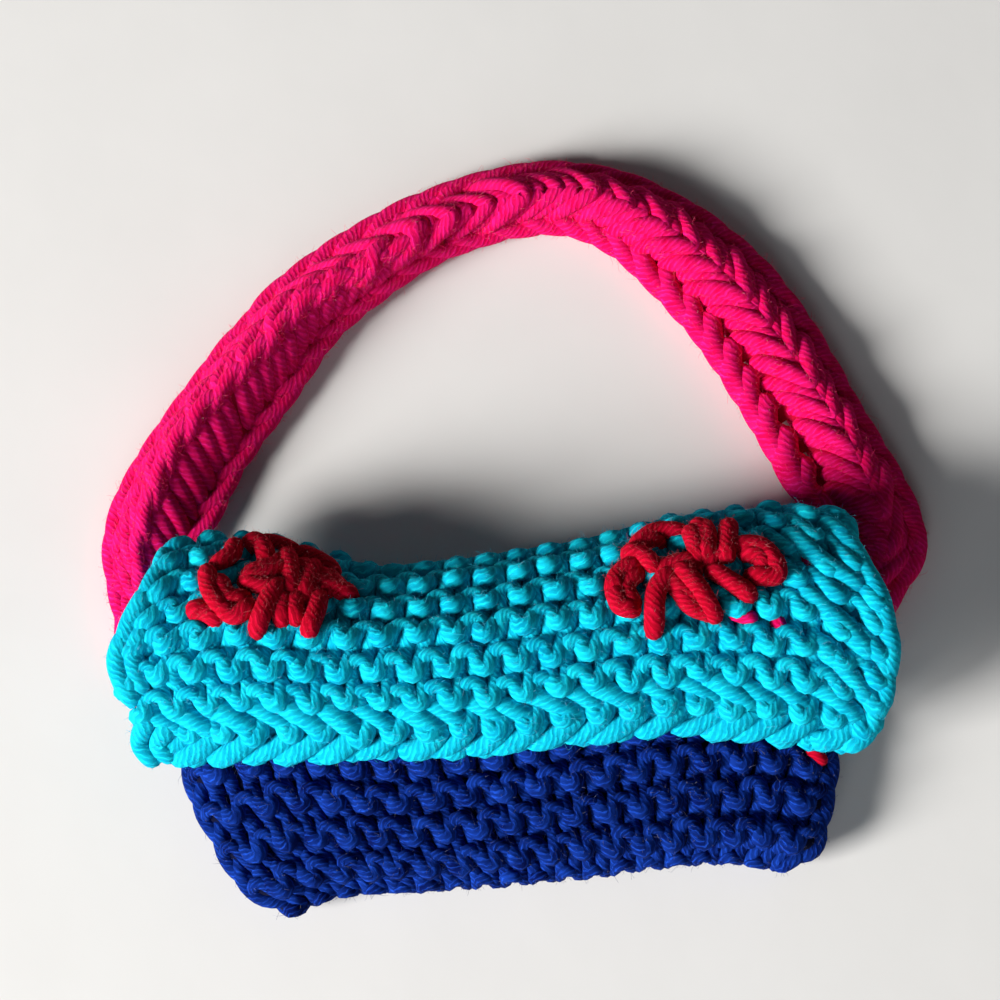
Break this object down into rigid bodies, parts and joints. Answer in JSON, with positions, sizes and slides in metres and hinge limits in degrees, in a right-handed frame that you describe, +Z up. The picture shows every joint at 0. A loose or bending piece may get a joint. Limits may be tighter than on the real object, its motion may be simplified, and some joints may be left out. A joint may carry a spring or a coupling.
{
  "type": "knitted doll's purse",
  "caption": "Small knitted purse lying on its back: a ribbed pouch, a fold-over flap with embroidered flowers, and a creased knitted strap laid as an arch.",
  "frame": {"origin": "on the pouch's flat back, which rests at z = 0, on the middle line between its side seams", "axes": "+Z up, away from the surface it lies on; +Y from the pouch's bottom to its mouth and on to the top of the strap; +X to the picture's right"},
  "size_m": [0.1113, 0.1034, 0.0228],
  "materials": {
    "navy_yarn": "soft knitted yarn",
    "turquoise_yarn": "soft knitted yarn",
    "cerise_yarn": "soft knitted yarn",
    "red_yarn": "soft knitted yarn"
  },
  "bodies": {
    "root": {"pouch": "navy_yarn", "flap": "turquoise_yarn", "strap": "cerise_yarn", "flower_left": "red_yarn", "flower_right": "red_yarn"}
  },
  "joints": []
}
